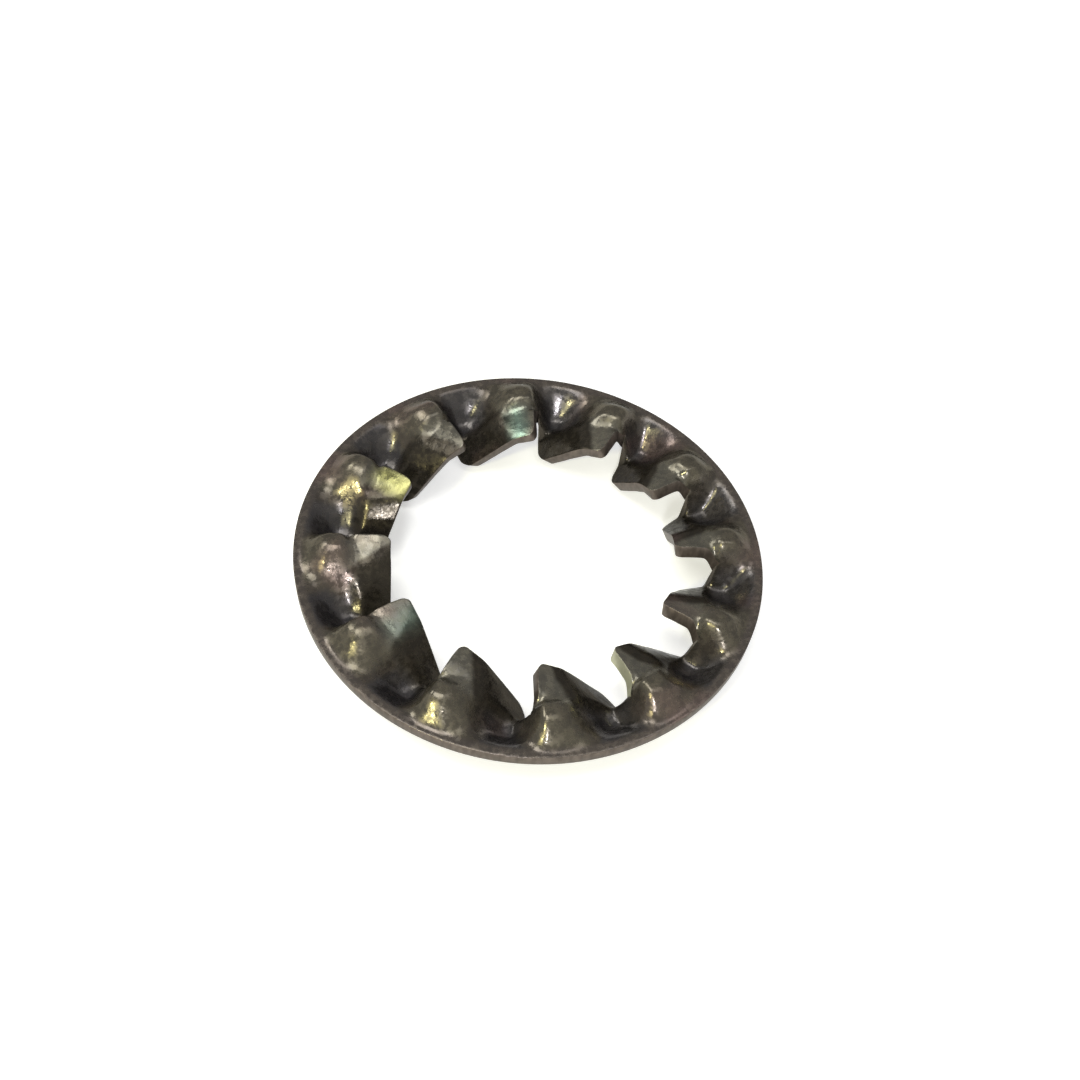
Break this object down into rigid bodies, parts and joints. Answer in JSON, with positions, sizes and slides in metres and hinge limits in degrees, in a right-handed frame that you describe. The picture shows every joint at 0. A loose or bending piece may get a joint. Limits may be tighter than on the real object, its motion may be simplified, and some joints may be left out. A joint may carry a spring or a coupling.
{
  "type": "internal tooth lock washer",
  "caption": "Thin spring-steel lock washer with a flat outer land, a waved rim and twisted teeth that point inwards and bite into the nut and the panel.",
  "frame": {"origin": "on the washer's axis, halfway through the thickness of the flat outer land", "axes": "+Z along the washer's axis; +X through the middle of the first tooth; each tooth's clockwise edge, seen from +Z, is the raised one"},
  "size_m": [0.016, 0.016, 0.0024],
  "materials": {
    "spring_steel": "dark oil-blackened finish, glossy, with faint straw, green and blue tints and lighter punched edges"
  },
  "bodies": {
    "root": {"lock_washer": "spring_steel"}
  },
  "joints": []
}
